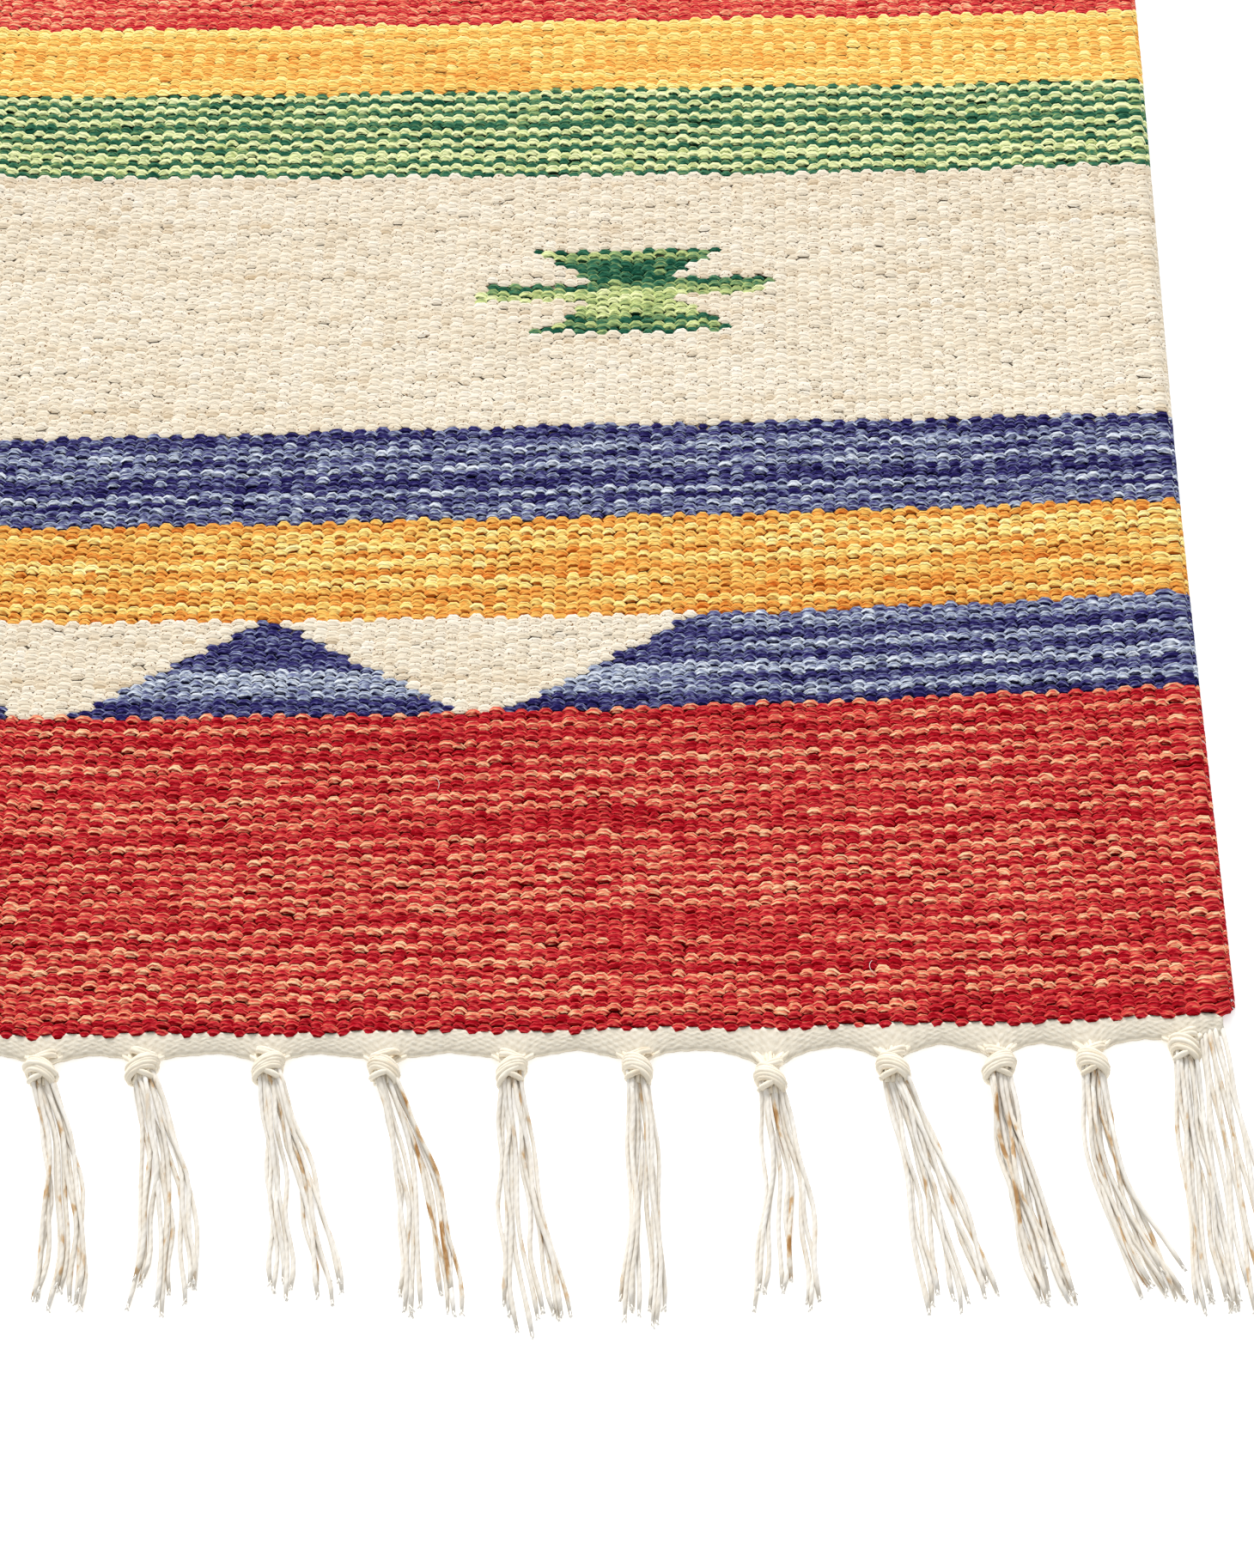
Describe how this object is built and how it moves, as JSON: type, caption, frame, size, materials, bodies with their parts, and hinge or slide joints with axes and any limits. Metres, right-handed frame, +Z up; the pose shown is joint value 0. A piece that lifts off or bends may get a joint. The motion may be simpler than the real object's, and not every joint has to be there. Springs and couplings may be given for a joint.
{
  "type": "kilim rug",
  "caption": "Flat-woven cotton rug lying flat: striped bands with a zigzag and small stepped motifs, corded sides, and knotted cream tassels along both ends.",
  "frame": {"origin": "centre of the flat underside, which rests on the floor", "axes": "+Z up; +Y along the warps, from the near end to the far end; +X across the rug, to the right as seen from the near end"},
  "size_m": [0.609, 1.0732, 0.0073],
  "materials": {
    "woven_cloth": "matte weft-faced cotton weave in red, yellow, blue, green and cream bands",
    "warp_cotton": "matte undyed plied cotton with fine brown flecks"
  },
  "bodies": {
    "root": {"kilim_cloth": "woven_cloth", "heading_near": "warp_cotton", "heading_far": "warp_cotton", "tassel_near_01": "warp_cotton", "tassel_near_02": "warp_cotton", "tassel_near_03": "warp_cotton", "tassel_near_04": "warp_cotton", "tassel_near_05": "warp_cotton", "tassel_near_06": "warp_cotton", "tassel_near_07": "warp_cotton", "tassel_near_08": "warp_cotton", "tassel_near_09": "warp_cotton", "tassel_near_10": "warp_cotton", "tassel_near_11": "warp_cotton", "tassel_near_12": "warp_cotton", "tassel_near_13": "warp_cotton", "tassel_near_14": "warp_cotton", "tassel_near_15": "warp_cotton", "tassel_near_16": "warp_cotton", "tassel_near_17": "warp_cotton", "tassel_near_18": "warp_cotton", "tassel_near_19": "warp_cotton", "tassel_near_20": "warp_cotton", "tassel_near_21": "warp_cotton", "tassel_near_22": "warp_cotton", "tassel_far_01": "warp_cotton", "tassel_far_02": "warp_cotton", "tassel_far_03": "warp_cotton", "tassel_far_04": "warp_cotton", "tassel_far_05": "warp_cotton", "tassel_far_06": "warp_cotton", "tassel_far_07": "warp_cotton", "tassel_far_08": "warp_cotton", "tassel_far_09": "warp_cotton", "tassel_far_10": "warp_cotton", "tassel_far_11": "warp_cotton", "tassel_far_12": "warp_cotton", "tassel_far_13": "warp_cotton", "tassel_far_14": "warp_cotton", "tassel_far_15": "warp_cotton", "tassel_far_16": "warp_cotton", "tassel_far_17": "warp_cotton", "tassel_far_18": "warp_cotton", "tassel_far_19": "warp_cotton", "tassel_far_20": "warp_cotton", "tassel_far_21": "warp_cotton", "tassel_far_22": "warp_cotton"}
  },
  "joints": []
}
